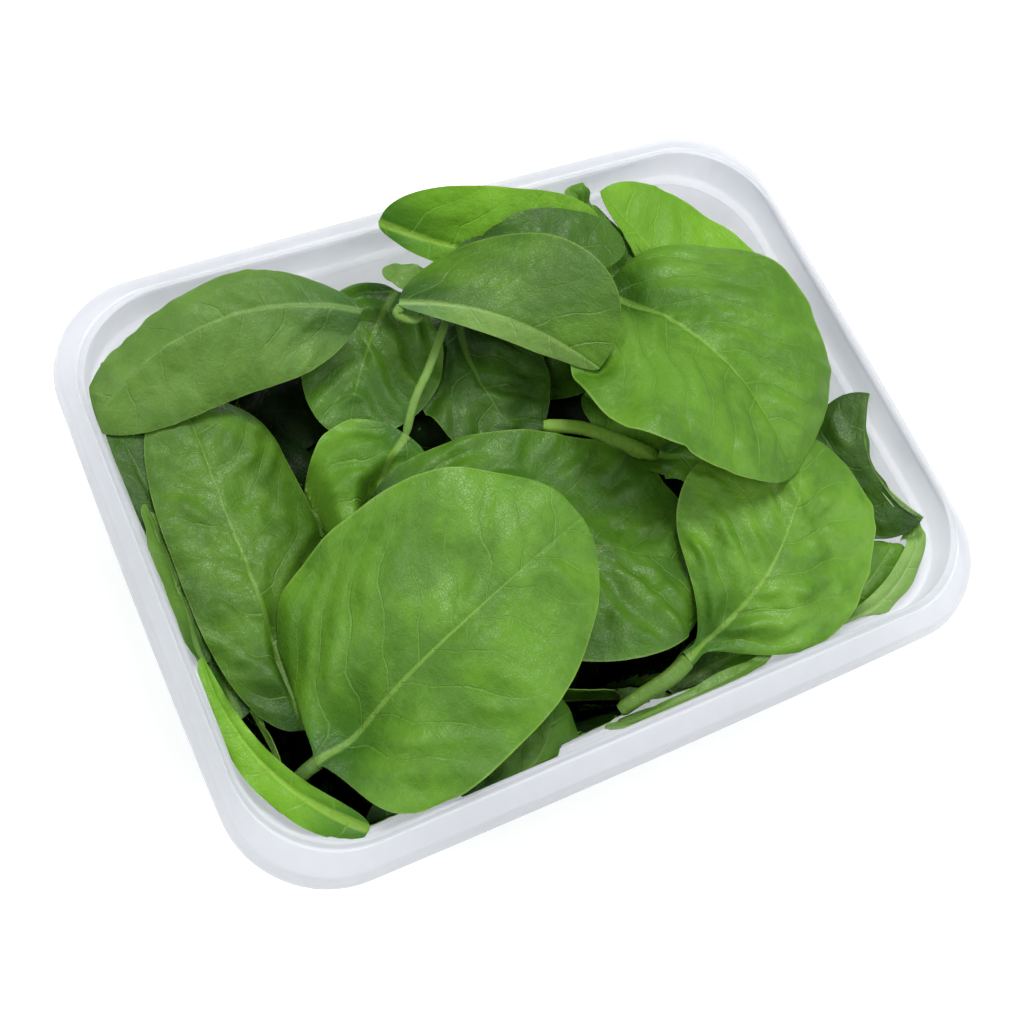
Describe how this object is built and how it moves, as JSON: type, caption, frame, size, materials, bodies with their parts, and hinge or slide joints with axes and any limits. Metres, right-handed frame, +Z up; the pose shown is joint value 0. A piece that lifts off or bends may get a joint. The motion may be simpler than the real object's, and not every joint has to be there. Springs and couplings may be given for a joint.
{
  "type": "tray of spinach leaves",
  "caption": "Open translucent plastic tray with rounded corners and a turned-down rim, heaped with loose young spinach leaves.",
  "frame": {"origin": "middle of the tray's flat underside, on the surface it stands on", "axes": "+X along the tray's long side, +Y across it, +Z up"},
  "size_m": [0.1858, 0.1438, 0.0698],
  "materials": {
    "plastic": "frosted translucent polypropylene",
    "leaf": "fresh green leaf, soft sheen"
  },
  "bodies": {
    "root": {"tray": "plastic", "spinach_heap": "leaf"}
  },
  "joints": []
}
